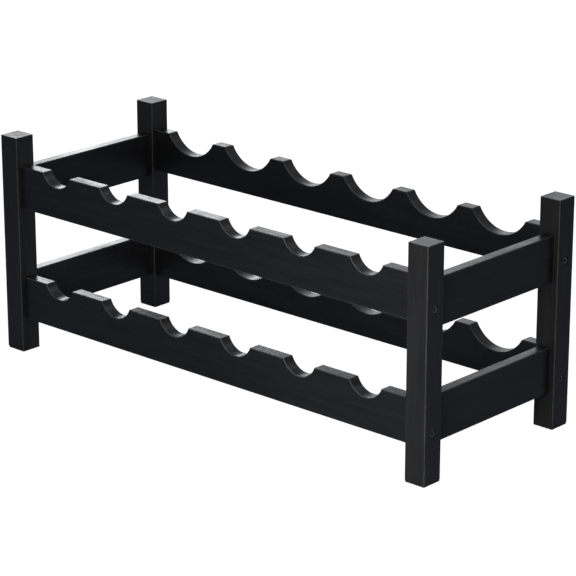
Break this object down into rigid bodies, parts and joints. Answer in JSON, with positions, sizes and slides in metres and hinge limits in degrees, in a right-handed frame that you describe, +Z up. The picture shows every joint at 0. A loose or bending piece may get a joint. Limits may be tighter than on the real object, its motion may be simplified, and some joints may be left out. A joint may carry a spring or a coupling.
{
  "type": "wine rack",
  "caption": "Low two-tier countertop wine rack in black lacquered wood, with square legs, plain side boards, neck-notched front rails and body-notched rear rails.",
  "frame": {"origin": "on the surface the rack stands on, under the middle of its footprint", "axes": "+X to the rack's right along its width, +Y to its back, +Z up; the bottle necks point to -Y"},
  "size_m": [0.65, 0.25, 0.265],
  "materials": {
    "black_lacquered_wood": "satin black lacquer over solid wood, end grain slightly greyer",
    "black_screw_steel": "black zinc, satin",
    "dowel_beech": "bare beech, fluted",
    "foot_pad_foam": "matt closed-cell foam"
  },
  "bodies": {
    "root": {"leg_front_left": "black_lacquered_wood", "leg_front_right": "black_lacquered_wood", "leg_rear_left": "black_lacquered_wood", "leg_rear_right": "black_lacquered_wood", "side_board_upper_left": "black_lacquered_wood", "side_board_upper_right": "black_lacquered_wood", "side_board_lower_left": "black_lacquered_wood", "side_board_lower_right": "black_lacquered_wood", "front_rail_upper": "black_lacquered_wood", "front_rail_lower": "black_lacquered_wood", "rear_rail_upper": "black_lacquered_wood", "rear_rail_lower": "black_lacquered_wood", "rail_screws_left": "black_screw_steel", "rail_screws_right": "black_screw_steel", "rail_dowels_left": "dowel_beech", "rail_dowels_right": "dowel_beech", "side_dowels_left": "dowel_beech", "side_dowels_right": "dowel_beech", "foot_pad_front_left": "foot_pad_foam", "foot_pad_front_right": "foot_pad_foam", "foot_pad_rear_left": "foot_pad_foam", "foot_pad_rear_right": "foot_pad_foam"}
  },
  "joints": []
}
